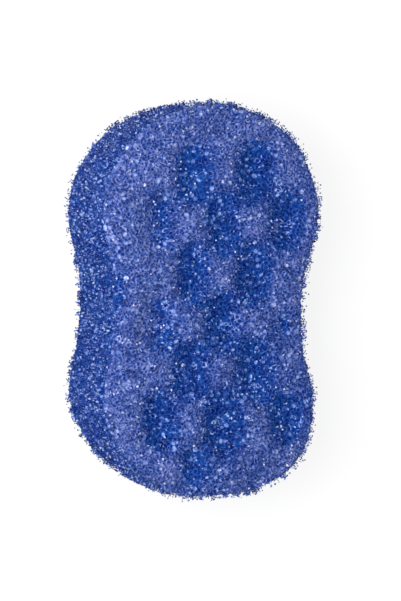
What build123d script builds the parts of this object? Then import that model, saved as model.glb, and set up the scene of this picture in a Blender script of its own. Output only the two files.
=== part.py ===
from build123d import *

import os
from math import cos, hypot, pi, sqrt

# A waisted bath sponge, cut as one block from open-cell foam. Millimetres.
# It lies on its flat back: X runs across it, Y along it from the squarer lobe to the round one,
# and Z up through its thickness to the face that washes, with its staggered field of soft hollows.

# ---- driving dimensions: the block ----
LENGTH = 150.0  # tip to tip
THICKNESS = 48.0  # flat back to the face between the hollows

UPPER_WIDTH = 87.0  # across the round lobe, on +Y
UPPER_SIDE_INSET = 1.5  # from the middle line to the centres of the arcs round its sides
UPPER_TIP_FLATTENING = 8.5  # how much longer than half the width the radius of its tip is

LOWER_WIDTH = 85.5  # across the squarer lobe, on -Y
LOWER_SIDE_INSET = 6.25
LOWER_TIP_FLATTENING = 57.25

WAIST_RADIUS = 83.0  # hollow arc between the lobes, on both sides
EDGE_ROLL_WIDTH = 3.0  # where the face gives way to the cut wall: in from the outline
EDGE_ROLL_DROP = 1.4  # and down from the face

# ---- driving dimensions: the hollows in the face ----
HOLLOW_WIDTH = 21.6  # rim to rim, across
HOLLOW_STRETCH = 11.0  # how much longer than wide a hollow is, along Y
HOLLOW_DEPTH = 5.8
HOLLOW_STEPS = 3  # straight steps of the slope from the middle to the rim
HOLLOW_PITCH_X = 24.9  # from one hollow to the next in its row
HOLLOW_PITCH_Y = 37.2  # from a row to the next one in line with it; the row between is staggered
FIELD_OFFSET_X = 4.3  # where one hollow of the middle row stands
FIELD_OFFSET_Y = -8.0
PLAIN_RIM = 0.8  # border left beside the hollows, inside the roll of the edge
SMALLEST_HOLLOW = 0.4  # near the edge hollows shrink to fit, down to this share of full size


def mirrored(point):
    return Vector(-point.X, point.Y)


def toward(start, end, distance):
    """The point that lies this far from start on the way to end."""
    return start + (end - start).normalized() * distance


def lobe(width, side_inset, tip_radius, toward_tip):
    """Centres of a lobe's tip arc and of its +X side arc, and the side arc's radius.

    toward_tip is +1 or -1 along Y.
    """
    side_radius = width / 2 - side_inset
    tip_centre = Vector(0, toward_tip * (LENGTH / 2 - tip_radius))
    rise = sqrt((tip_radius - side_radius) ** 2 - side_inset**2)
    return tip_centre, tip_centre + Vector(side_inset, toward_tip * rise), side_radius


def waist_centre(upper, upper_radius, lower, lower_radius):
    """Centre, outside on +X, of the waist arc that touches both side arcs."""
    reach_upper = upper_radius + WAIST_RADIUS
    reach_lower = lower_radius + WAIST_RADIUS
    span = upper - lower
    apart = hypot(span.X, span.Y)
    along = (reach_lower**2 - reach_upper**2 + apart**2) / (2 * apart)
    out = sqrt(reach_lower**2 - along**2)
    unit = span * (1 / apart)
    return lower + unit * along + Vector(unit.Y, -unit.X) * out


def make_outline():
    """The figure of eight, as a closed wire of tangent arcs."""
    upper_tip_radius = UPPER_WIDTH / 2 + UPPER_TIP_FLATTENING
    lower_tip_radius = LOWER_WIDTH / 2 + LOWER_TIP_FLATTENING
    upper_centre, upper_side, upper_radius = lobe(UPPER_WIDTH, UPPER_SIDE_INSET, upper_tip_radius, 1)
    lower_centre, lower_side, lower_radius = lobe(LOWER_WIDTH, LOWER_SIDE_INSET, lower_tip_radius, -1)
    waist = waist_centre(upper_side, upper_radius, lower_side, lower_radius)

    shoulder = toward(upper_centre, upper_side, upper_tip_radius)
    upper_hip = toward(upper_side, waist, upper_radius)
    lower_hip = toward(lower_side, waist, lower_radius)
    heel = toward(lower_centre, lower_side, lower_tip_radius)

    half = [
        ThreePointArc(shoulder, upper_side + Vector(upper_radius, 0), upper_hip),
        ThreePointArc(upper_hip, waist - Vector(WAIST_RADIUS, 0), lower_hip),
        ThreePointArc(lower_hip, lower_side + Vector(lower_radius, 0), heel),
    ]
    other_half = [edge.mirror(Plane.YZ) for edge in half]
    tips = [
        ThreePointArc(shoulder, Vector(0, LENGTH / 2), mirrored(shoulder)),
        ThreePointArc(heel, Vector(0, -LENGTH / 2), mirrored(heel)),
    ]
    return Wire(half + other_half + tips)


def slope(first_step):
    """Points down the slope of a hollow in XZ, from this step to the rim: a cosine wave in straight steps."""
    shares = [step / HOLLOW_STEPS for step in range(first_step, HOLLOW_STEPS + 1)]
    return [Vector(HOLLOW_WIDTH / 2 * share, 0, -HOLLOW_DEPTH * (1 + cos(pi * share)) / 2) for share in shares]


def make_hollow():
    """The foam that one full-size hollow takes out: a trough along Y with two round ends."""
    half_section = make_face(Polyline(slope(0) + [Vector(0, 0, 0)], close=True))
    section = make_face(Polyline(slope(-HOLLOW_STEPS), close=True))
    trough = extrude(section, HOLLOW_STRETCH / 2, dir=(0, 1, 0), both=True)
    end = Pos(0, HOLLOW_STRETCH / 2, 0) * revolve(half_section, Axis.Z, 180)
    return trough + end + end.mirror(Plane.XZ)


def hollow_places(outline):
    """Where each hollow stands, and its share of full size, so that it fits in beside the outline."""
    plan = make_face(outline)
    columns = int(max(UPPER_WIDTH, LOWER_WIDTH) / HOLLOW_PITCH_X) + 1
    rows = int(LENGTH / HOLLOW_PITCH_Y) + 1
    for column in range(-columns, columns + 1):
        for row in range(-rows, rows + 1):
            x = FIELD_OFFSET_X + column * HOLLOW_PITCH_X / 2
            y = FIELD_OFFSET_Y + row * HOLLOW_PITCH_Y / 2
            staggered_in = (column + row) % 2 == 0
            if not staggered_in or not plan.is_inside(Vector(x, y)):
                continue
            room = outline.distance_to(Vector(x, y)) - EDGE_ROLL_WIDTH - PLAIN_RIM
            share = min(1.0, room / (HOLLOW_WIDTH / 2))
            if share >= SMALLEST_HOLLOW:
                yield Pos(x, y, THICKNESS), share


def make_sponge():
    outline = make_outline()
    block = extrude(make_face(outline), THICKNESS)
    face_edges = block.edges().group_by(Axis.Z)[-1]
    block = chamfer(face_edges, EDGE_ROLL_DROP, EDGE_ROLL_WIDTH)
    hollow = make_hollow()
    return block - [place * scale(hollow, by=share) for place, share in hollow_places(outline)]


os.makedirs("parts", exist_ok=True)
sponge = make_sponge()
export_step(sponge, "parts/sponge.step")
print("sponge", round(sponge.volume), "mm3,", sponge.bounding_box().size)
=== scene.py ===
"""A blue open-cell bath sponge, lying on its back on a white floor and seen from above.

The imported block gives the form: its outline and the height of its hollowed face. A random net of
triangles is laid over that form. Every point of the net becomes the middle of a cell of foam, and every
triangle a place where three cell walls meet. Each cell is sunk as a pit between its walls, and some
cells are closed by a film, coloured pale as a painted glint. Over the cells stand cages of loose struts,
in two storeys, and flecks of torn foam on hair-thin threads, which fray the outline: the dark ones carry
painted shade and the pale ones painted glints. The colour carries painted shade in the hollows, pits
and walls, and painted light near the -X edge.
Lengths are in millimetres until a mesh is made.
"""

import math
from typing import NamedTuple

import bpy
import numpy as np
from mathutils import Matrix, Vector
from mathutils.bvhtree import BVHTree
from mathutils.geometry import delaunay_2d_cdt

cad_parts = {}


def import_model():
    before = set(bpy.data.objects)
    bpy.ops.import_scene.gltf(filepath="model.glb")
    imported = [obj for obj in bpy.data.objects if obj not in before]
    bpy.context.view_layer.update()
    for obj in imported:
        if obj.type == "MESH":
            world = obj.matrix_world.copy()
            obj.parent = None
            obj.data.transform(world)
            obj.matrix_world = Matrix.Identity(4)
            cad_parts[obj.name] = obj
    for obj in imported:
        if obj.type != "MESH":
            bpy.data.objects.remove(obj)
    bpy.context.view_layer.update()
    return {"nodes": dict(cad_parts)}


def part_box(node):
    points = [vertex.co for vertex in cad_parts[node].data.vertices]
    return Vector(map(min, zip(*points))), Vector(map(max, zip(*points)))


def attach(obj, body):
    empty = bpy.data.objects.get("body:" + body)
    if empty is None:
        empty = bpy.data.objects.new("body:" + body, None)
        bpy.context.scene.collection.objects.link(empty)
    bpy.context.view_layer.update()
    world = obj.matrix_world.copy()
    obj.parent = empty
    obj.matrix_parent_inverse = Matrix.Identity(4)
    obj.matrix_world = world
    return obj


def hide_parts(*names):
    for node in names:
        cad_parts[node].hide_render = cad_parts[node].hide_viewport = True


MM = 0.001
SEED = 7
TINY = 1e-12  # least length that is divided by
NO_AREA = 1e-6

FACE, WALL, BACK = range(3)  # zones of the sponge
STRUT_SLOT, PIT_SLOT, PAINTED_GLINT_SLOT = range(3)  # materials of the cells; the third is the pale film, a painted glint
LOOSE_SLOT, LOOSE_PAINTED_GLINT_SLOT = range(2)  # materials of what stands loose over them; the second is the pale film, a painted glint

# ---- the form that the cells follow ----
OUTLINE_RAYS = 1440  # that find the outline
OUTLINE_SMOOTHING = 4  # points to each side over which it is averaged
OUTLINE_STEP = 3  # every so many points of it are enough to measure distances from
TANGENT_REACH = 1.5  # to each side of a place on it
HOLLOW_SOFTENING = 2.9  # radius over which the height of the face is averaged
SOFTENING_RAYS = 6  # round that radius
RAY_START = 5.0  # above the face
HOLLOW_FILLING = 0.2  # share of a hollow's depth that the springy cells take back
CROWN = 1.2  # how far the soft face gives way towards its long edges
CROWN_HALF = 43.0  # from the middle line to where it has given way so far

WALL_WAVES = 0.22  # unevenness of the cut walls
WALL_WAVE_COUNT = 6
WALL_WAVE_LONGEST = 70.0
WALL_WAVE_SHARES = (0.25, 1.0)  # shortest and longest wave, as shares of that

LEANS = (  # where the soft block bulges or gives: the place, the shift there and how far it reaches
    ((36.0, -58.0), (2.8, -1.7), 24.0),
    ((-36.0, -60.0), (1.2, 1.0), 22.0),
    ((-44.0, -40.0), (-1.0, 0.0), 18.0),
    ((42.0, 34.0), (2.2, 0.6), 26.0),
    ((30.0, 62.0), (0.9, 0.8), 18.0),
    ((42.0, -10.0), (0.7, 0.0), 16.0),
    ((-38.0, -12.0), (-1.5, 0.0), 18.0),
    ((-42.0, 34.0), (-0.5, 0.0), 22.0),
)

# ---- the net: where the cells lie ----
CELL_PITCH = 1.4  # between the middles of neighbouring cells
BACK_CELL_PITCH = 2.2
JITTER = 0.46  # how far a cell may stray from an even spacing, in pitches
BODY_INSETS = (0.5, 1.15, 0.0)  # how far the cells lie inside the form: on the face, the wall, the back
BACK_HEIGHT = 0.35  # of the back's part of the net above the floor
LOWEST = 0.02  # height below which nothing reaches

RIM_INSET = 0.9  # from the outline in to the row of cells along an edge
RIM_ROUND = 0.7  # how far that row lies below the face, or above the floor
RIM_JITTER = 0.25  # how far its cells stray along it, in spacings
RIM_UNEVENNESS = 0.2  # and up or down, on the face
RIM_GAP = 0.62  # from it to the cells inside it, in their pitches
WALL_GAPS = (0.75, 1.3)  # from it to the cells of the wall, at the foot and at the top, in pitches
SEAM_GAP = 0.5  # from the seam on which the wall closes to its other cells, in pitches
SEAM_SPACING = 0.9  # of the cells on that seam, in pitches

EDGE_ROUNDING = 0.55  # how far the wall draws in where it meets the face or the floor
ROUNDED_TOP = 4.0  # height of wall over which it does
ROUNDED_FOOT = 2.0

# ---- the cells. Lifts, sags and depths are along the surface's normal ----
MEETING_LIFT = (-0.1, 0.3)  # of the places where walls meet: the mean and the spread
MEETING_LIMITS = (-0.7, 0.45)
BACK_MEETING_LIMITS = (-0.25, 0.2)  # the back is cut flatter
WALL_SAG = (0.0, 0.3)  # of the crest of a wall, half way between two meeting places
BROKEN_WALLS = 0.42  # share of the walls that have been cut away
BROKEN_SAG = (0.4, 1.0)

LIP_REACH = (0.4, 0.92)  # of the lip of a pit, as a share of the way from the cell's middle to a corner
FILM_REACH = (0.65, 0.95)  # the same in a cell that is closed by film
LIP_DEPTH = (0.12, 0.5)
PIT_DEPTH = (0.1, 1.0)  # below the lip
FILM_DEPTH = 0.08
TILT = 0.4  # slope of a pit or film
LEAN_LIMITS = (-0.5, 1.2)  # of the depth that its slope gives a lip
FILM_LIFT = 1.1  # slope by which the films of the wall look up

FILM_SHARES = (0.1, 0.16, 0.06)  # cells closed by a film, coloured pale as a painted glint, on the face, the wall and the back
PART_FILM_SHARE = 0.2  # cells with a torn piece of film
TORN_SHARE = 0.4  # sides of such a cell that carry it
RING_SHARE = 0.035  # cells whose whole rim is given the pale film colour, a painted glint
FILM_LIP_SHARE = 0.035  # sides of walls that are given it too, also a painted glint
CELL_TONE_SHARE = 0.6  # how much of its tone a pit shares with the rest of its cell


# ---- what stands over the cells. Pairs of shares are for the face and for the wall ----

class Storey(NamedTuple):
    """A storey of cages. A cage is a ring of struts, joined by knots and held up by legs."""

    shares: tuple  # of the cells that carry the storey below, how many carry a cage
    heights: tuple
    strut_radii: tuple
    knot_radii: tuple
    darkening: float  # how much darker it is, as a share of the range of tones: painted shade, so that the outer storey looks dark as if backlit


class Flecks(NamedTuple):
    """Torn bits of foam, each on a thread."""

    slot: int
    shares: tuple  # of the places where walls meet, how many carry one
    heights: tuple
    radii: tuple
    tones: tuple


STOREYS = (
    Storey((0.18, 0.16), (0.6, 1.1), (0.07, 0.14), (0.12, 0.27), 0.0),
    Storey((0.25, 0.5), (0.65, 1.15), (0.04, 0.07), (0.22, 0.38), 0.25),
)
FOOTING = 0.15  # how deep the legs of the lowest storey stand in the walls
LEG_SHARE = 0.85  # meeting places of a cage that stand on a leg
STRAY = 0.22  # how far a tip may stand to one side
WINDOW_FILM_SHARES = (0.07, 0.2)  # windows between two legs that are closed by film, coloured pale as a painted glint

FLECKS = (
    Flecks(LOOSE_SLOT, (0.0, 0.17), (1.4, 2.5), (0.24, 0.4), (-0.6, 0.3)),  # dark ends of struts: painted shade, dark against the floor as if backlit
    Flecks(LOOSE_PAINTED_GLINT_SLOT, (0.03, 0.07), (1.0, 2.0), (0.38, 0.6), (0.4, 1.1)),  # curls of film, coloured pale as painted glints
)
FLECK_CROWDING = 1.5  # power that makes low flecks commoner than high ones
FLECK_STRAY = 0.35
THREAD_RADIUS = 0.03
KNOT_STRETCH = (0.8, 1.5)  # from the middle of a knot or fleck to its points, in its radii

STRUT_PIECES = ("struts_of_face", "struts_of_left_wall", "struts_of_right_wall")
UPRIGHT = 0.8  # share of Z in a rod's direction from which its sides are taken from X, not Z
ROD_SIDES = ((0, 1, 4), (0, 4, 3), (1, 2, 5), (1, 5, 4), (2, 0, 3), (2, 3, 5))
KNOT_SIDES = ((0, 2, 1), (0, 3, 2), (0, 1, 3), (4, 1, 2), (4, 2, 3), (4, 3, 1))
WINDOW_SIDES = ((0, 1, 2), (0, 2, 3))

# ---- how the surface is laid out in its map ----
MAP_SHRINKING = 0.96  # of each cell, so that cells keep apart
MAP_MARGIN = 2.0
WALL_MAP_ROWS = 2
WALL_MAP_GAP = 2.5
STRIP_MARGIN = 0.06  # round each loose shape, in its unit square of the map
STRIP_GAP = 0.03  # between its pairs of triangles
PAIR_GAP = 0.04  # between the two of a pair

# ---- colour ----
PAINTED_SHADE_TINT = (0.05, 0.34, 0.66)  # painted shade: what the foam's colour is multiplied by in the floor of a hollow, where shade falls
# painted shade tints for the films and for the loose struts
FILM_PAINTED_SHADE_TINT = (0.64, 0.8, 0.96)
LOOSE_PAINTED_SHADE_TINT = (0.3, 0.64, 0.92)
HOLLOW_DEEPEST = 2.1  # depth of painted shade at which the tint is full
PALE_DEPTH = 0.4  # depth down to which the face gets no painted shade
PAINTED_LIGHT_EDGE = 7.0  # painted light: how far in from the -X edge, on the side of the key lamp, the face is lighter
PAINTED_LIGHT_FADE = 30.0  # width, over the middle line, in which that painted light ends
WALL_PAINTED_SHADE = 1.8  # painted shade on the wall and the back, as a depth in the face
EDGE_PAINTED_SHADE = 3.2  # and what is added to it at the top of the wall: a darker band of painted shade just below the edge
EDGE_PAINTED_SHADE_REACH = 5.0
PIT_PAINTED_SHADE = 1.05  # painted shade: how fast it deepens inside a cell, darker towards the pit's floor
WALL_DRIFT = 0.45  # share of the painted light and shade patches below that shows on the wall

PAINTED_SHADE_DRIFTS = (  # painted light and shade in patches, mostly lighter towards -X and darker towards +X: the place, how much deeper the painted shade is there and how far that reaches
    ((-25.0, 28.0), -2.4, 12.0),
    ((-25.0, -7.0), -3.0, 10.0),
    ((-36.5, 1.0), 1.8, (3.2, 17.0)),
    ((-26.0, 66.0), -1.9, 17.0),
    ((-5.0, 73.0), -1.2, 12.0),
    ((-17.0, 9.0), -1.0, 8.0),
    ((0.0, 57.0), 0.8, 8.0),
    ((-13.0, -8.0), 0.7, 6.0),
    ((27.0, -15.0), 1.1, 12.0),
    ((38.0, -38.0), 1.5, 14.0),
    ((40.0, 46.0), 0.8, 13.0),
    ((12.0, -50.0), 0.8, 8.0),
    ((1.0, -62.0), 1.3, 11.0),
)

PATCH_SIZE = 6.0  # of the slow noise in the colour, which also makes the painted shade uneven
GRAIN_SIZE = 1.3
RELIEF_SIZE = 0.35
RELIEF_HEIGHT = 0.1
PATCH_TONE = 0.9  # how much the patches change the tone
GRAIN_TONE = 0.4
PATCH_PAINTED_SHADE = (0.12, 1.8)  # how much of the painted shade in the hollows shows: the least, and what the patches add
GRAIN_ROUGHNESS = (-0.12, 0.25)  # what the grain adds to the roughness: the least, and its range

# ---- camera ----
CAMERA_AIM = (13.34, -2.09, 0.0)
CAMERA_DISTANCE = 650.0
CAMERA_TO_LEFT = 21.24  # degrees, from straight above towards -X
CAMERA_TO_TOP = 2.92  # degrees, towards +Y
CAMERA_ROLL = 0.39  # degrees
CAMERA_LENS = 95.5
CAMERA_CLIP = 10.0

# ---- floor and light ----
FLOOR_HALF = 6000.0
FLOOR_GREY = 0.8  # by which it throws light back at the sponge
FLOOR_SHADE = 0.3  # as the camera sees it, over its own glow
FLOOR_GLOW = (0.8, 1.0)  # near the sponge and far from it
FLOOR_GLOW_REACHES = (200.0, 800.0)  # from the middle
SKY_LEVEL = 0.42
LAMP_AIM = (0.0, 0.0, 24.0)
LAMPS = (  # the name, place, size and the brightness that it gives a white surface facing it
    ("key_lamp", (-280.0, 40.0, 370.0), 240.0, 0.79),
    ("fill_lamp", (600.0, -350.0, 160.0), 300.0, 0.12),
)


# ---------------------------------------------------------------- the form of the block

class Block:
    """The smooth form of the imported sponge: its outline, measured by length, and the height of its face."""

    def __init__(self, node):
        corners = [vertex.co / MM for vertex in node.data.vertices]
        self.tree = BVHTree.FromPolygons(corners, [polygon.vertices for polygon in node.data.polygons])
        self.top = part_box(node.name)[1].z / MM
        self.trace_outline()

    def trace_outline(self):
        middle = Vector((0, 0, self.top / 2))
        angles = 2 * np.pi * np.arange(OUTLINE_RAYS) / OUTLINE_RAYS - np.pi / 2
        hits = [self.tree.ray_cast(middle, Vector((math.cos(a), math.sin(a), 0)))[0] for a in angles]
        points = smoothed(np.array([(hit.x, hit.y) for hit in hits]), OUTLINE_SMOOTHING)
        steps = np.linalg.norm(np.roll(points, -1, 0) - points, axis=1)
        self.length = steps.sum()
        self.at = np.concatenate([[0], np.cumsum(steps)])
        self.points = np.vstack([points, points[:1]])

    def outline(self, along, inset):
        """Points of the outline at these lengths along it, moved inwards."""
        along = np.mod(along, self.length)
        place = self.interpolate(along)
        tangent = self.tangent(along)
        outward = np.stack([tangent[:, 1], -tangent[:, 0]], 1)
        return place - outward * np.reshape(inset, (-1, 1))

    def interpolate(self, along):
        return np.stack([np.interp(along, self.at, self.points[:, axis]) for axis in (0, 1)], 1)

    def tangent(self, along):
        ahead = self.interpolate(np.mod(along + TANGENT_REACH, self.length))
        behind = self.interpolate(np.mod(along - TANGENT_REACH, self.length))
        step = ahead - behind
        return step / np.linalg.norm(step, axis=1, keepdims=True)

    def inset(self, places):
        """How far inside the outline each place is; negative outside."""
        nearest = np.full(len(places), np.inf)
        for point in self.points[::OUTLINE_STEP]:
            nearest = np.minimum(nearest, np.linalg.norm(places - point, axis=1))
        angle = np.arctan2(places[:, 1], places[:, 0])
        edge_angle = np.arctan2(self.points[:-1, 1], self.points[:-1, 0])
        order = np.argsort(edge_angle)
        edge_radius = np.linalg.norm(self.points[:-1], axis=1)[order]
        reach = np.interp(angle, edge_angle[order], edge_radius, period=2 * np.pi)
        return np.where(np.linalg.norm(places, axis=1) < reach, nearest, -nearest)

    def face_height(self, places):
        """Height of the face, averaged over a small disc and filled up a little, so that hollows are soft."""
        spots = [(0.0, 0.0)]
        for angle in 2 * np.pi * np.arange(SOFTENING_RAYS) / SOFTENING_RAYS:
            spots.append((HOLLOW_SOFTENING * math.cos(angle), HOLLOW_SOFTENING * math.sin(angle)))
        start, down = self.top + RAY_START, Vector((0, 0, -1))
        heights = []
        for x, y in places:
            hits = [self.tree.ray_cast(Vector((x + dx, y + dy, start)), down)[0] for dx, dy in spots]
            found = [hit.z for hit in hits if hit is not None]
            heights.append(sum(found) / len(found))
        sunk = self.top - np.array(heights)
        return self.top - (1 - HOLLOW_FILLING) * sunk - crown_drop(places)


def smoothed(points, reach):
    """A closed line of points, averaged over reach neighbours each way."""
    return sum(np.roll(points, step, 0) for step in range(-reach, reach + 1)) / (2 * reach + 1)


def crown_drop(places):
    """How far the face has given way at each place."""
    return CROWN * (places[:, 0] / CROWN_HALF) ** 2


def nearness(places, spot, reach):
    """1 at the spot, falling with the distance from it. reach may be a pair, for X and Y."""
    return np.exp(-(((places - spot) / reach) ** 2).sum(1))


def leaning(places):
    """How far the soft block has given way sideways at each place."""
    return sum(nearness(places, spot, reach)[:, None] * shift for spot, shift, reach in LEANS)


def wall_waves(places, rng):
    """A smooth uneven field over the unrolled wall, about -1 to 1."""
    total = np.zeros(len(places))
    for _ in range(WALL_WAVE_COUNT):
        direction = rng.uniform(0, 2 * np.pi)
        wavelength = rng.uniform(*WALL_WAVE_SHARES) * WALL_WAVE_LONGEST
        across = places @ np.array([math.cos(direction), math.sin(direction)])
        total += np.sin(2 * np.pi * across / wavelength + rng.uniform(0, 2 * np.pi))
    return total / math.sqrt(WALL_WAVE_COUNT)


# ---------------------------------------------------------------- the net of cells

class Net:
    """A closed net of triangles over the block. Its points are the middles of the cells."""

    def __init__(self, block, rng):
        self.block, self.rng = block, rng
        self.places, self.maps, self.zones, self.faces = [], [], [], []
        self.count = 0
        self.lay()

    def add(self, places, maps, zone):
        """Adds points and gives their numbers in the net. maps says where they lie when it is laid flat."""
        first = self.count
        self.places.append(places)
        self.maps.append(maps)
        self.zones.append(np.full(len(places), zone))
        self.count += len(places)
        return np.arange(first, self.count)

    def scatter(self, low, high, pitch):
        """An even triangular lattice over a rectangle, each point moved at random."""
        row_step = pitch * math.sqrt(3) / 2
        points = []
        for row, y in enumerate(np.arange(low[1], high[1], row_step)):
            x = np.arange(low[0], high[0], pitch) + (pitch / 2 if row % 2 else 0)
            points.append(np.stack([x, np.full(len(x), y)], 1))
        points = np.vstack(points)
        return points + self.rng.uniform(-JITTER, JITTER, points.shape) * pitch

    def join(self, flat, numbers, outward, loop=0):
        """Adds triangles between numbered points, laid flat. The first loop points bound them."""
        edges = [(i, (i + 1) % loop) for i in range(loop)]
        found = delaunay_2d_cdt([Vector(point) for point in flat], edges, [], 1 if loop else 0, NO_AREA)
        spots = np.array([place[:] for place in found[0]])
        numbers = numbers[np.array([came_from[0] for came_from in found[3]])]
        corners = np.array(found[2])
        first, second, third = spots[corners].transpose(1, 0, 2)
        turn = np.cross(second - first, third - first)
        flip = turn < 0 if outward else turn > 0
        corners[flip] = corners[flip][:, ::-1]
        self.faces.append(numbers[corners[np.abs(turn) > NO_AREA]])

    def lay(self):
        block, rng = self.block, self.rng
        count = round(block.length / CELL_PITCH)
        spacing = block.length / count
        along = (np.arange(count) + rng.uniform(-RIM_JITTER, RIM_JITTER, count)) * spacing
        rim = block.outline(along, RIM_INSET)
        height = block.face_height(rim) - RIM_ROUND + rng.uniform(-RIM_UNEVENNESS, RIM_UNEVENNESS, count)
        top_rim = self.add(np.column_stack([rim, height]), rim, FACE)
        bottom_rim = self.add(np.column_stack([rim, np.full(count, RIM_ROUND)]), rim * (1, -1), BACK)
        self.lay_flat(rim, top_rim, FACE, CELL_PITCH)
        self.lay_flat(rim, bottom_rim, BACK, BACK_CELL_PITCH)
        self.lay_wall(along, top_rim, bottom_rim)

        self.places = np.vstack(self.places)
        self.places[:, :2] += leaning(self.places[:, :2])
        self.maps = np.vstack(self.maps)
        self.zones = np.concatenate(self.zones)
        self.faces = np.vstack(self.faces)

    def lay_flat(self, rim, rim_numbers, zone, pitch):
        """Fills the face or the back inside its rim."""
        spots = self.scatter(rim.min(0), rim.max(0), pitch)
        spots = spots[self.block.inset(spots) > RIM_INSET + RIM_GAP * pitch]
        if zone == FACE:
            height, maps = self.block.face_height(spots), spots
        else:
            height, maps = np.full(len(spots), BACK_HEIGHT), spots * (1, -1)
        numbers = np.concatenate([rim_numbers, self.add(np.column_stack([spots, height]), maps, zone)])
        self.join(np.vstack([rim, spots]), numbers, zone == FACE, len(rim))

    def lay_wall(self, along, top_rim, bottom_rim):
        """Fills the wall, unrolled, and closes it on itself."""
        block, top = self.block, self.block.top
        foot_gap, top_gap = WALL_GAPS
        low, high = RIM_ROUND + foot_gap * CELL_PITCH, top - RIM_ROUND - top_gap * CELL_PITCH
        spots = self.scatter((0, low), (block.length, high), CELL_PITCH)
        gap = SEAM_GAP * CELL_PITCH
        spots = spots[(spots[:, 0] > gap) & (spots[:, 0] < block.length - gap)]
        seam_height = np.arange(low, high, CELL_PITCH * SEAM_SPACING)
        seam = np.column_stack([np.zeros(len(seam_height)), seam_height])
        spots = np.vstack([seam, spots])
        bulge = WALL_WAVES * wall_waves(spots, self.rng)
        near_top = np.clip((spots[:, 1] - (top - ROUNDED_TOP)) / ROUNDED_TOP, 0, 1)
        near_foot = np.clip((ROUNDED_FOOT - spots[:, 1]) / ROUNDED_FOOT, 0, 1)
        around = block.outline(spots[:, 0], EDGE_ROUNDING * (near_top**2 + near_foot**2) - bulge)
        height = spots[:, 1] * (1 - crown_drop(around) / top)
        numbers = self.add(np.column_stack([around, height]), spots, WALL)

        closing = block.length
        flat = np.vstack([
            spots,
            seam + (closing, 0),
            np.column_stack([along - along[0], np.full(len(along), top)]),
            [(closing, top)],
            np.column_stack([along - along[0], np.zeros(len(along))]),
            [(closing, 0)],
        ])
        every = [numbers, numbers[:len(seam)], top_rim, top_rim[:1], bottom_rim, bottom_rim[:1]]
        self.join(flat, np.concatenate(every), True)


def unit(vectors):
    return vectors / np.maximum(np.linalg.norm(vectors, axis=-1, keepdims=True), TINY)


def point_normals(places, faces):
    """Normals of the net's points, weighted by the area of the triangles round them."""
    first, second, third = places[faces].transpose(1, 0, 2)
    weight = np.cross(second - first, third - first)
    normals = np.zeros_like(places)
    for corner in range(3):
        np.add.at(normals, faces[:, corner], weight)
    return unit(normals)


# ---------------------------------------------------------------- cells

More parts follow.
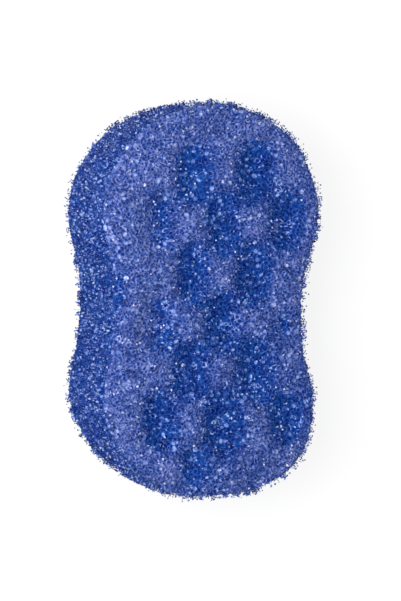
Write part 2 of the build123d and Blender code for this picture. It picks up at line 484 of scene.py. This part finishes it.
class Foam:
    """The cells over a net: walls that meet at the middle of each triangle, and a pit in each cell."""

    def __init__(self, net, rng):
        self.net, self.rng = net, rng
        self.normals = point_normals(net.places, net.faces)
        self.middles = net.places - self.normals * np.array(BODY_INSETS)[net.zones][:, None]
        self.tones = rng.random(len(net.places) + net.faces.size)
        self.find_neighbours()
        self.raise_walls()
        self.sink_pits()
        self.choose_slots()

    def find_neighbours(self):
        """Every corner of every triangle belongs to one cell. nxt is the corner that follows it there.

        wall is the number of the wall between a corner's meeting place and that of its nxt.
        """
        faces, count = self.net.faces, len(self.net.places)
        self.cell = faces.reshape(-1)
        ahead = np.roll(faces, -1, 1).reshape(-1)
        behind = np.roll(faces, 1, 1).reshape(-1)
        keys = self.cell * count + ahead
        order = np.argsort(keys)
        self.nxt = order[np.searchsorted(keys[order], self.cell * count + behind)]
        self.meeting = np.arange(len(self.cell)) // 3
        edge_keys = np.minimum(self.cell, behind) * count + np.maximum(self.cell, behind)
        unique, self.wall = np.unique(edge_keys, return_inverse=True)
        self.wall_ends = np.zeros((len(unique), 2), int)
        self.wall_ends[self.wall, 0] = self.meeting
        self.wall_ends[self.wall, 1] = self.meeting[self.nxt]

    def raise_walls(self):
        """The places where three walls meet, and the crest in the middle of each wall."""
        rng, faces = self.rng, self.net.faces
        self.on_back = (self.net.zones[faces] == BACK).sum(1) >= 2
        self.meeting_normals = unit(self.normals[faces].sum(1))
        lift = np.clip(rng.normal(*MEETING_LIFT, len(faces)), *MEETING_LIMITS)
        lift = np.where(self.on_back, np.clip(lift, *BACK_MEETING_LIMITS), lift)
        self.meetings = self.middles[faces].mean(1) + self.meeting_normals * lift[:, None]

        count = len(self.wall_ends)
        sag = rng.uniform(*WALL_SAG, count)
        broken = rng.random(count) < BROKEN_WALLS
        sag = np.where(broken, rng.uniform(*BROKEN_SAG, count), sag)
        normal = unit(self.meeting_normals[self.wall_ends].sum(1))
        self.crests = self.meetings[self.wall_ends].mean(1) - normal * sag[:, None]

    def sink_pits(self):
        """The lip of each pit, one point for every corner, and its lowest point."""
        rng, count = self.rng, len(self.middles)
        out = self.meetings[self.meeting] - self.middles[self.cell]
        normal = self.normals[self.cell]
        out -= normal * (out * normal).sum(1, keepdims=True)
        way = np.linalg.norm(out, axis=1)
        direction = unit(out)

        self.film = rng.random(count) < np.array(FILM_SHARES)[self.net.zones]
        self.part_film = ~self.film & (rng.random(count) < PART_FILM_SHARE)
        reach = rng.uniform(*LIP_REACH, len(self.cell))
        reach = np.where(self.film[self.cell], rng.uniform(*FILM_REACH, count)[self.cell], reach)
        lip_depth = rng.uniform(*LIP_DEPTH, count)
        low_depth = lip_depth + np.where(self.film, FILM_DEPTH, rng.uniform(*PIT_DEPTH, count))
        tilt = unit(rng.normal(size=(count, 3))) * TILT
        tilt[(self.film | self.part_film) & (self.net.zones == WALL)] += (0.0, 0.0, FILM_LIFT)
        lean = np.clip((tilt[self.cell] * direction).sum(1) * way, *LEAN_LIMITS)
        depth = lip_depth[self.cell] + lean
        self.lips = self.middles[self.cell] + direction * (way * reach)[:, None] - normal * depth[:, None]
        self.lows = self.middles - self.normals * low_depth[:, None]

    def choose_slots(self):
        rng = self.rng
        torn = self.part_film[self.cell] & (rng.random(len(self.cell)) < TORN_SHARE)
        # painted glint: film cells and torn pieces of film take the pale film colour
        self.pit_slot = np.where(self.film[self.cell] | torn, PAINTED_GLINT_SLOT, PIT_SLOT)
        # painted glint: some whole rims and some single sides of walls take the pale film colour
        ring = rng.random(len(self.middles)) < RING_SHARE
        bright = ring[self.cell] | (rng.random(len(self.cell)) < FILM_LIP_SHARE)
        self.lip_slot = np.where(bright, PAINTED_GLINT_SLOT, STRUT_SLOT)

    def mesh_of(self, cells):
        """Points, triangles, slots, owning cells and tones of the triangles, for a choice of cells."""
        points = np.vstack([self.meetings, self.crests, self.lips, self.lows])
        starts = np.cumsum([0, len(self.meetings), len(self.crests), len(self.lips)])
        corner = np.flatnonzero(cells[self.cell])
        after = self.nxt[corner]
        meet, next_meet = self.meeting[corner], self.meeting[after]
        crest = starts[1] + self.wall[corner]
        lip, next_lip = starts[2] + corner, starts[2] + after
        low = starts[3] + self.cell[corner]
        rim = [(meet, crest, lip), (crest, next_lip, lip), (crest, next_meet, next_lip)]
        sides = [*rim, (lip, next_lip, low)]
        triangles = np.vstack([np.column_stack(side) for side in sides])
        slots = np.concatenate([np.tile(self.lip_slot[corner], len(rim)), self.pit_slot[corner]])
        owners = np.tile(self.cell[corner], len(sides))
        rim_tone = self.tones[len(self.middles):][corner]
        pit_tone = CELL_TONE_SHARE * self.tones[self.cell[corner]] + (1 - CELL_TONE_SHARE) * rim_tone
        tones = np.concatenate([np.tile(rim_tone, len(rim)), pit_tone])
        return points, triangles, slots, owners, tones


# ---------------------------------------------------------------- meshes

def add_object(name, data):
    made = bpy.data.objects.new(name, data)
    bpy.context.scene.collection.objects.link(made)
    return made


def make_piece(name, points, triangles, slots, materials, maps, values, smooth):
    """A mesh piece from millimetre points. values are named numbers, one for each corner of a triangle."""
    used, compact = np.unique(triangles, return_inverse=True)
    compact = compact.reshape(-1, 3)
    mesh = bpy.data.meshes.new(name)
    mesh.vertices.add(len(used))
    mesh.vertices.foreach_set("co", (points[used] * MM).astype(np.float32).reshape(-1))
    mesh.loops.add(compact.size)
    mesh.loops.foreach_set("vertex_index", compact.astype(np.int32).reshape(-1))
    mesh.polygons.add(len(compact))
    mesh.polygons.foreach_set("loop_start", np.arange(0, compact.size, 3, dtype=np.int32))
    mesh.polygons.foreach_set("material_index", slots.astype(np.int32))
    mesh.polygons.foreach_set("use_smooth", np.full(len(compact), smooth))
    mesh.update(calc_edges=True)
    layer = mesh.uv_layers.new(name="OFBake")
    layer.data.foreach_set("uv", maps.astype(np.float32).reshape(-1))
    for title, numbers in values.items():
        attribute = mesh.attributes.new(title, "FLOAT", "CORNER")
        attribute.data.foreach_set("value", numbers.astype(np.float32).reshape(-1))
    for material in materials:
        mesh.materials.append(material)
    piece = add_object(name, mesh)
    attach(piece, "root")
    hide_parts("sponge")


def cell_frames(foam):
    """Two directions along the surface at each cell: along X on the face and back, round the wall."""
    flat = foam.net.zones != WALL
    normal = foam.normals
    along = np.where(flat[:, None], (1.0, 0.0, 0.0), np.cross((0.0, 0.0, 1.0), normal))
    along = unit(along - normal * (along * normal).sum(1, keepdims=True))
    return along, np.cross(normal, along)


def cell_maps(foam, offset, owners, centres, side):
    """Map places of a cell mesh: every cell is laid flat round its own place in the map."""
    flat = np.stack([(offset * axis[owners][:, None]).sum(2) for axis in cell_frames(foam)], 2)
    return (centres[owners][:, None] + MAP_SHRINKING * flat) / side


def flat_centres(foam, cells):
    """Map centres of the face or the back, as they lie, and the side of the square that holds them."""
    centres = foam.net.maps - foam.net.maps[cells].min(0) + MAP_MARGIN
    return centres, centres[cells].max() + MAP_MARGIN


def wall_centres(foam, start, length):
    """Map centres of a stretch of wall, wrapped into rows, and the side of the square that holds them."""
    row_length, row_height = length / WALL_MAP_ROWS, foam.net.block.top + WALL_MAP_GAP
    along, height = foam.net.maps[:, 0] - start, foam.net.maps[:, 1]
    row = np.clip(np.floor(along / row_length), 0, WALL_MAP_ROWS - 1)
    centres = np.column_stack([along - row * row_length + WALL_MAP_GAP, height + row * row_height])
    return centres, max(row_length + 2 * WALL_MAP_GAP, WALL_MAP_ROWS * row_height + WALL_MAP_GAP)


def painted_shade_depth(block, places, off_face):
    """How deep the painted shade is: it grows with the depth of a hollow and round the wall just below the
    face. The face gets painted light near the -X edge, and patches are painted lighter and darker.
    """
    spots = places[:, :2]
    below_face = np.clip(block.top - BODY_INSETS[FACE] - crown_drop(places) - places[:, 2], 0.0, None)
    on_edge = np.exp(-(np.clip(block.inset(spots), 0.0, None) / PAINTED_LIGHT_EDGE) ** 2)
    # painted light: less painted shade on the face near the -X edge, on the side of the key lamp
    painted_light = on_edge * np.clip(0.5 - places[:, 0] / PAINTED_LIGHT_FADE, 0.0, 1.0)
    in_face = (below_face - PALE_DEPTH) * (1 - painted_light)
    # painted shade: the wall and the back darker than the face, most just below the edge
    in_wall = WALL_PAINTED_SHADE + EDGE_PAINTED_SHADE * np.exp(-below_face / EDGE_PAINTED_SHADE_REACH)
    # painted light and shade: some patches lighter, some darker, mostly lighter towards -X and darker towards
    # +X
    drift = sum(deeper * nearness(spots, spot, reach) for spot, deeper, reach in PAINTED_SHADE_DRIFTS)
    return np.clip(np.where(off_face, in_wall + WALL_DRIFT * drift, in_face + drift), 0.0, None)


def make_cells(foam, name, cells, centres, side, materials):
    points, triangles, slots, owners, tones = foam.mesh_of(cells)
    points[:, 2] = np.maximum(points[:, 2], LOWEST)
    offset = points[triangles] - foam.middles[owners][:, None]
    maps = cell_maps(foam, offset, owners, centres, side)
    # painted shade: how deep the shade painted on each cell is
    depth = painted_shade_depth(foam.net.block, foam.middles, foam.net.zones != FACE)
    below_middle = -(offset * foam.normals[owners][:, None]).sum(2)
    values = {
        # painted shade: darker the deeper a point lies in its pit
        "painted_shade_depth": depth[owners][:, None] + PIT_PAINTED_SHADE * np.clip(below_middle, 0, None),
        "cell_tone": np.repeat(tones, 3),
    }
    make_piece(name, points, triangles, slots, materials, maps, values, smooth=True)


# ---------------------------------------------------------------- what stands over the cells

def for_zone(off_face, shares):
    """For each place, the first of two shares on the face and the second off it."""
    return np.where(off_face, shares[1], shares[0])


def joined(parts):
    """One dict of arrays from several with the same keys."""
    return {key: np.concatenate([part[key] for part in parts]) for key in parts[0]}


class Struts:
    """What stands over the cells. Its rods, knots and windows of film are dicts of arrays, a row for each."""

    def __init__(self, foam, rng):
        self.foam, self.rng = foam, rng
        rods, knots, windows = self.parts = ([], [], [])
        below = foam.meetings - foam.meeting_normals * FOOTING
        carrying = foam.net.zones != BACK
        for storey in STOREYS:
            below, carrying = self.add_storey(storey, below, carrying)
        for flecks in FLECKS:
            self.add_flecks(flecks)
        self.rods, self.knots, self.windows = joined(rods), joined(knots), joined(windows)
        self.rods["piece"] = self.pieces_at(self.rods["start"])
        self.knots["piece"] = self.pieces_at(self.knots["place"])
        self.windows["piece"] = self.pieces_at(self.windows["corners"].mean(1))

    def strays(self, count, furthest):
        """Random steps to any side."""
        return unit(self.rng.normal(size=(count, 3))) * self.rng.uniform(0, furthest, count)[:, None]

    def add_storey(self, storey, below, carrying):
        """Adds cages over some of the carrying cells. Gives their tips and the cells that have one."""
        foam, rng = self.foam, self.rng
        rods, knots, windows = self.parts
        zones, count = foam.net.zones, len(below)
        caged = carrying & (rng.random(len(zones)) < for_zone(zones != FACE, storey.shares))
        corners = caged[foam.cell]
        touched = np.zeros(count, bool)
        touched[foam.meeting[corners]] = True
        stray = self.strays(count, STRAY)
        tips = below + foam.meeting_normals * rng.uniform(*storey.heights, count)[:, None] + stray
        first, second = foam.wall_ends[np.unique(foam.wall[corners])].T
        legs = touched & (rng.random(count) < LEG_SHARE)
        rod_count, knot_count = legs.sum() + len(first), touched.sum()
        # painted shade: the storey's darkening lowers the tones of its struts and knots
        rods.append({
            "start": np.concatenate([below[legs], tips[first]]),
            "end": np.concatenate([tips[legs], tips[second]]),
            "radius": rng.uniform(*storey.strut_radii, rod_count),
            "tone": rng.random(rod_count) - storey.darkening,
            "slot": np.full(rod_count, LOOSE_SLOT),
        })
        knots.append({
            "place": tips[touched],
            "radius": rng.uniform(*storey.knot_radii, knot_count),
            "tone": rng.random(knot_count) - storey.darkening,
            "slot": np.full(knot_count, LOOSE_SLOT),
        })
        on_wall = zones[foam.net.faces[first, 0]] == WALL
        filmed = rng.random(len(first)) < for_zone(on_wall, WINDOW_FILM_SHARES)
        a, b = first[filmed], second[filmed]
        windows.append({
            "corners": np.stack([below[a], below[b], tips[b], tips[a]], 1),
            "slot": np.full(len(a), LOOSE_PAINTED_GLINT_SLOT),
        })
        return tips, caged

    def add_flecks(self, flecks):
        foam, rng = self.foam, self.rng
        rods, knots, _ = self.parts
        on_wall = (foam.net.zones[foam.net.faces] == WALL).any(1)
        torn = ~foam.on_back & (rng.random(len(on_wall)) < for_zone(on_wall, flecks.shares))
        count = torn.sum()
        lowest, highest = flecks.heights
        height = lowest + (highest - lowest) * rng.random(count) ** FLECK_CROWDING
        stray = self.strays(count, FLECK_STRAY)
        tips = foam.meetings[torn] + foam.meeting_normals[torn] * height[:, None] + stray
        rods.append({
            "start": foam.meetings[torn],
            "end": tips,
            "radius": np.full(count, THREAD_RADIUS),
            "tone": rng.random(count),
            "slot": np.full(count, LOOSE_SLOT),
        })
        # the flecks' tones: low on the dark ones, painted shade, and high on the film, painted glints
        knots.append({
            "place": tips,
            "radius": rng.uniform(*flecks.radii, count),
            "tone": rng.uniform(*flecks.tones, count),
            "slot": np.full(count, flecks.slot),
        })

    def pieces_at(self, places):
        """For each place, which of the STRUT_PIECES it belongs to."""
        return np.where(on_face(self.foam.net.block, places), 0, np.where(places[:, 0] < 0, 1, 2))


def on_face(block, places):
    """Whether each place belongs to the face: inside the rim and no deeper than the hollows."""
    upright = places[:, :2] - leaning(places[:, :2])
    return (block.inset(upright) > RIM_INSET) & (places[:, 2] > block.top / 2)


def rod_corners(rods, rng):
    """The six corners of each three-sided rod."""
    direction = unit(rods["end"] - rods["start"])
    helper = np.where(np.abs(direction[:, 2:]) < UPRIGHT, (0.0, 0.0, 1.0), (1.0, 0.0, 0.0))
    side = unit(np.cross(direction, helper))
    other = np.cross(direction, side)
    turn = rng.uniform(0, 2 * np.pi, len(direction))
    corners = []
    for end in (rods["start"], rods["end"]):
        for corner in range(3):
            angle = turn + corner * 2 * np.pi / 3
            spoke = side * np.cos(angle)[:, None] + other * np.sin(angle)[:, None]
            corners.append(end + spoke * rods["radius"][:, None])
    return np.stack(corners, 1)


def knot_corners(knots, rng):
    """The five corners of each knot: two three-sided points, base to base, turned at random."""
    middles, radius = knots["place"], knots["radius"][:, None]
    axis = unit(rng.normal(size=middles.shape))
    side = unit(np.cross(axis, rng.normal(size=middles.shape)))
    other = np.cross(axis, side)
    stretch = radius * rng.uniform(*KNOT_STRETCH, radius.shape)
    corners = [middles - axis * stretch]
    for corner in range(3):
        angle = corner * 2 * math.pi / 3
        corners.append(middles + (side * math.cos(angle) + other * math.sin(angle)) * radius)
    corners.append(middles + axis * stretch)
    return np.stack(corners, 1)


def strip_map(triangles):
    """Where the triangles of a loose shape lie in its own unit square of the map: in pairs, side by side."""
    low, high = STRIP_MARGIN, 1 - STRIP_MARGIN
    edges = np.linspace(low, high, triangles // 2 + 1)
    maps = []
    for left, right in zip(edges, edges[1:] - STRIP_GAP):
        maps.append([(left, low), (right, low), (right, high - PAIR_GAP)])
        maps.append([(left, low + PAIR_GAP), (right, high), (left, high)])
    return np.array(maps)


def make_struts(struts, piece, materials):
    """One of the STRUT_PIECES."""
    block, rng = struts.foam.net.block, struts.rng
    rods, knots, windows = (
        {key: array[shapes["piece"] == piece] for key, array in shapes.items()}
        for shapes in (struts.rods, struts.knots, struts.windows)
    )
    kinds = [
        (rod_corners(rods, rng), ROD_SIDES, rods["tone"], rods["slot"]),
        (knot_corners(knots, rng), KNOT_SIDES, knots["tone"], knots["slot"]),
        (windows["corners"], WINDOW_SIDES, rng.random(len(windows["slot"])), windows["slot"]),
    ]
    square = math.ceil(math.sqrt(sum(len(corners) for corners, *_ in kinds)))
    points, triangles, maps, tones, slots = [], [], [], [], []
    first_point = first_shape = 0
    for corners, sides, tone, slot in kinds:
        count, corner_count = corners.shape[:2]
        shape = np.arange(count)
        row, column = np.divmod(first_shape + shape, square)
        points.append(corners.reshape(-1, 3))
        triangles.append(first_point + shape[:, None, None] * corner_count + np.array(sides))
        maps.append((np.column_stack([column, row])[:, None, None] + strip_map(len(sides))) / square)
        tones.append(np.repeat(tone, len(sides)))
        slots.append(np.repeat(slot, len(sides)))
        first_point += count * corner_count
        first_shape += count
    points = np.vstack(points)
    points[:, 2] = np.maximum(points[:, 2], LOWEST)
    triangles, maps = (np.concatenate([part.reshape(-1, 3) for part in parts]) for parts in (triangles, maps))
    places = points[triangles].mean(1)
    # painted shade for the loose struts, as on the cells
    depth = painted_shade_depth(block, places, ~on_face(block, places))
    values = {"painted_shade_depth": np.repeat(depth, 3), "cell_tone": np.repeat(np.concatenate(tones), 3)}
    slots = np.concatenate(slots)
    make_piece(STRUT_PIECES[piece], points, triangles, slots, materials, maps, values, smooth=False)


# ---------------------------------------------------------------- materials

def linear(red, green, blue):
    """A colour given in 0-255 display values, as the shader wants it."""
    levels = [value / 255 for value in (red, green, blue)]
    return tuple(level / 12.92 if level <= 0.04045 else ((level + 0.055) / 1.055) ** 2.4 for level in levels)


class Nodes:
    """A short way to add and link shader nodes."""

    def __init__(self, name):
        self.material = bpy.data.materials.new(name)
        self.material.use_nodes = True
        self.tree = self.material.node_tree
        self.shader = self.tree.nodes["Principled BSDF"]

    def add(self, kind, settings=None, **inputs):
        node = self.tree.nodes.new(kind)
        for key, value in (settings or {}).items():
            setattr(node, key, value)
        for key, value in inputs.items():
            self.put(node.inputs[key.replace("_", " ")], value)
        return node

    def put(self, socket, value):
        if isinstance(value, bpy.types.NodeSocket):
            self.tree.links.new(value, socket)
        else:
            socket.default_value = value

    def math(self, operation, first, second, clamp=False):
        node = self.add("ShaderNodeMath", {"operation": operation, "use_clamp": clamp})
        self.put(node.inputs[0], first)
        self.put(node.inputs[1], second)
        return node.outputs[0]

    def noise(self, size, detail):
        coordinates = self.add("ShaderNodeTexCoord").outputs["Object"]
        node = self.add("ShaderNodeTexNoise", Vector=coordinates, Scale=1 / (size * MM), Detail=detail)
        return node.outputs["Fac"]

    def value(self, title):
        return self.add("ShaderNodeAttribute", {"attribute_name": title}).outputs["Fac"]

    def ramp(self, factor, stops):
        """A colour ramp. Each stop is a place and a colour in 0-255 display values."""
        node = self.add("ShaderNodeValToRGB", Fac=factor)
        elements = node.color_ramp.elements
        while len(elements) < len(stops):
            elements.new(0.5)
        for element, (place, colour) in zip(elements, stops):
            element.position = place
            element.color = (*linear(*colour), 1.0)
        return node.outputs["Color"]

    def mix(self, factor, first, second, blend="MIX"):
        node = self.add("ShaderNodeMix", {"data_type": "RGBA", "blend_type": blend})
        for socket, value in zip((node.inputs[0], node.inputs[6], node.inputs[7]), (factor, first, second)):
            self.put(socket, value if isinstance(value, bpy.types.NodeSocket) else (*value, 1.0))
        return node.outputs[2]


def foam_material(name, stops, roughness, gloss, bump, painted_shade_tint):
    """Dyed foam: its tone varies from cell to cell and in patches. It is darkened by painted shade in the
    hollows.
    """
    nodes = Nodes(name)
    shader = nodes.shader
    patch = nodes.noise(PATCH_SIZE, detail=3.0)
    grain = nodes.noise(GRAIN_SIZE, detail=2.0)
    tone = nodes.math("ADD", nodes.value("cell_tone"), nodes.math("MULTIPLY", patch, PATCH_TONE))
    tone = nodes.math("ADD", tone, nodes.math("MULTIPLY", grain, GRAIN_TONE))
    tone = nodes.math("SUBTRACT", tone, (PATCH_TONE + GRAIN_TONE) / 2, clamp=True)
    least, more = PATCH_PAINTED_SHADE
    # painted shade: how strongly the hollows are darkened, uneven in patches
    uneven = nodes.math("ADD", nodes.math("MULTIPLY", patch, more), least)
    hollow = nodes.math("DIVIDE", nodes.value("painted_shade_depth"), HOLLOW_DEEPEST)
    hollow = nodes.math("MULTIPLY", hollow, uneven, clamp=True)
    # painted shade: the colour is multiplied by the tint where the painted shade is deep
    colour = nodes.mix(hollow, nodes.ramp(tone, stops), painted_shade_tint, "MULTIPLY")
    nodes.put(shader.inputs["Base Color"], colour)
    least, more = GRAIN_ROUGHNESS
    rough = nodes.math("ADD", nodes.math("MULTIPLY", grain, more), roughness + least)
    nodes.put(shader.inputs["Roughness"], rough)
    shader.inputs["Specular IOR Level"].default_value = gloss
    height = nodes.noise(RELIEF_SIZE, detail=1.0)
    relief = nodes.add("ShaderNodeBump", Strength=bump, Distance=RELIEF_HEIGHT * MM, Height=height)
    nodes.put(shader.inputs["Normal"], relief.outputs["Normal"])
    return nodes.material


def make_materials():
    """The materials of the cells, and those of what stands over them, in the order of their slots."""
    # The struts and the pits are a lighter and a darker copy of one foam: painted sheen on the crests and
    # painted shade in the pits.
    strut = foam_material(
        "foam_strut",
        [(0.0, (58, 90, 168)), (0.5, (112, 131, 199)), (1.0, (152, 157, 213))],
        roughness=0.5, gloss=0.15, bump=0.3, painted_shade_tint=PAINTED_SHADE_TINT,
    )
    # painted shade: the pits' colour is darker than the struts'
    pit = foam_material(
        "foam_pit_painted_shade",
        [(0.0, (10, 56, 148)), (0.5, (52, 88, 172)), (1.0, (110, 120, 194))],
        roughness=0.6, gloss=0.08, bump=0.3, painted_shade_tint=PAINTED_SHADE_TINT,
    )
    # painted glint: the film gets a pale colour that stands for light reflected by its membranes
    film = foam_material(
        "foam_film_painted_glint",
        [(0.0, (88, 114, 194)), (0.5, (138, 158, 226)), (0.76, (176, 190, 246)), (1.0, (226, 230, 255))],
        roughness=0.3, gloss=0.5, bump=0.2, painted_shade_tint=FILM_PAINTED_SHADE_TINT,
    )
    # its darkest stops carry the painted shade of the outer storey and of the dark flecks
    loose = foam_material(
        "foam_loose_strut",
        [(0.0, (10, 42, 120)), (0.25, (30, 76, 168)), (0.55, (74, 108, 196)), (1.0, (138, 154, 226))],
        roughness=0.5, gloss=0.12, bump=0.3, painted_shade_tint=LOOSE_PAINTED_SHADE_TINT,
    )
    return [strut, pit, film], [loose, film]


# ---------------------------------------------------------------- camera, floor and light

def make_camera():
    left, up = math.radians(CAMERA_TO_LEFT), math.radians(CAMERA_TO_TOP)
    back = Vector((-math.sin(left) * math.cos(up), math.sin(up), math.cos(left) * math.cos(up)))
    right = Vector((0, 1, 0)).cross(back).normalized()
    above = back.cross(right)
    roll = math.radians(CAMERA_ROLL)
    turned_right = right * math.cos(roll) + above * math.sin(roll)
    turned_up = above * math.cos(roll) - right * math.sin(roll)
    camera = add_object("camera", bpy.data.cameras.new("camera"))
    place = (Vector(CAMERA_AIM) + back * CAMERA_DISTANCE) * MM
    turn = Matrix((turned_right, turned_up, back)).transposed().to_4x4()
    camera.matrix_world = Matrix.Translation(place) @ turn
    camera.data.lens = CAMERA_LENS
    camera.data.clip_start = CAMERA_CLIP * MM
    bpy.context.scene.camera = camera


def seen_directly(nodes):
    """1 for what the camera sees straight, in a mirror or through glass, otherwise 0."""
    path = nodes.add("ShaderNodeLightPath")
    seen = nodes.math("MAXIMUM", path.outputs["Is Camera Ray"], path.outputs["Is Glossy Ray"])
    return nodes.math("MAXIMUM", seen, path.outputs["Is Transmission Ray"])


def make_floor():
    """A white floor: seen directly it is nearly white by itself and keeps a faint shadow."""
    half = FLOOR_HALF * MM
    corners = [(-half, -half, 0), (half, -half, 0), (half, half, 0), (-half, half, 0)]
    mesh = bpy.data.meshes.new("floor")
    mesh.from_pydata(corners, [], [(0, 1, 2, 3)])
    floor = add_object("floor", mesh)
    nodes = Nodes("floor_white")
    shader = nodes.shader
    seen = seen_directly(nodes)
    nodes.put(shader.inputs["Base Color"], nodes.mix(seen, 3 * (FLOOR_GREY,), 3 * (FLOOR_SHADE,)))
    shader.inputs["Roughness"].default_value = 1.0
    shader.inputs["Specular IOR Level"].default_value = 0.0
    shader.inputs["Emission Color"].default_value = (1, 1, 1, 1)
    place = nodes.add("ShaderNodeTexCoord").outputs["Object"]
    away = nodes.add("ShaderNodeVectorMath", {"operation": "LENGTH"}, Vector=place).outputs["Value"]
    near, far = (reach * MM for reach in FLOOR_GLOW_REACHES)
    low, high = FLOOR_GLOW
    glow = nodes.add("ShaderNodeMapRange", Value=away, From_Min=near, From_Max=far, To_Min=low, To_Max=high)
    nodes.put(shader.inputs["Emission Strength"], nodes.math("MULTIPLY", seen, glow.outputs[0]))
    mesh.materials.append(nodes.material)


def make_sky():
    """A plain sky: white where the camera sees it, and dimmer as a light."""
    world = bpy.data.worlds.new("studio")
    bpy.context.scene.world = world
    world.use_nodes = True
    tree = world.node_tree
    path = tree.nodes.new("ShaderNodeLightPath")
    level = tree.nodes.new("ShaderNodeMix")
    level.inputs[2].default_value = SKY_LEVEL
    level.inputs[3].default_value = 1.0
    tree.links.new(path.outputs["Is Camera Ray"], level.inputs[0])
    background = tree.nodes["Background"]
    background.inputs["Color"].default_value = (1, 1, 1, 1)
    tree.links.new(level.outputs[0], background.inputs["Strength"])


def make_lamp(name, place, size, level):
    """A soft square lamp aimed at the sponge."""
    lamp = add_object(name, bpy.data.lights.new(name, "AREA"))
    place, aim = Vector(place) * MM, Vector(LAMP_AIM) * MM
    lamp.location = place
    lamp.rotation_mode = "QUATERNION"
    lamp.rotation_quaternion = (aim - place).to_track_quat("-Z", "Y")
    lamp.data.size = size * MM
    lamp.data.energy = level * math.pi**2 * (aim - place).length_squared


# ---------------------------------------------------------------- the scene

def make_sponge(node):
    rng = np.random.default_rng(SEED)
    block = Block(node)
    net = Net(block, rng)
    foam = Foam(net, rng)
    materials, loose_materials = make_materials()

    for name, cells in (("foam_face", net.zones == FACE), ("foam_back", net.zones == BACK)):
        make_cells(foam, name, cells, *flat_centres(foam, cells), materials)
    half = block.length / 2
    on_wall, first_half = net.zones == WALL, net.maps[:, 0] < half
    for name, cells, start in (
        ("foam_wall_right", on_wall & first_half, 0.0),
        ("foam_wall_left", on_wall & ~first_half, half),
    ):
        make_cells(foam, name, cells, *wall_centres(foam, start, half), materials)
    struts = Struts(foam, rng)
    for piece in range(len(STRUT_PIECES)):
        make_struts(struts, piece, loose_materials)


def main():
    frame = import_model()
    make_sponge(frame["nodes"]["sponge"])
    make_camera()
    make_floor()
    make_sky()
    for lamp in LAMPS:
        make_lamp(*lamp)
    bpy.context.scene.view_settings.view_transform = "Standard"


main()
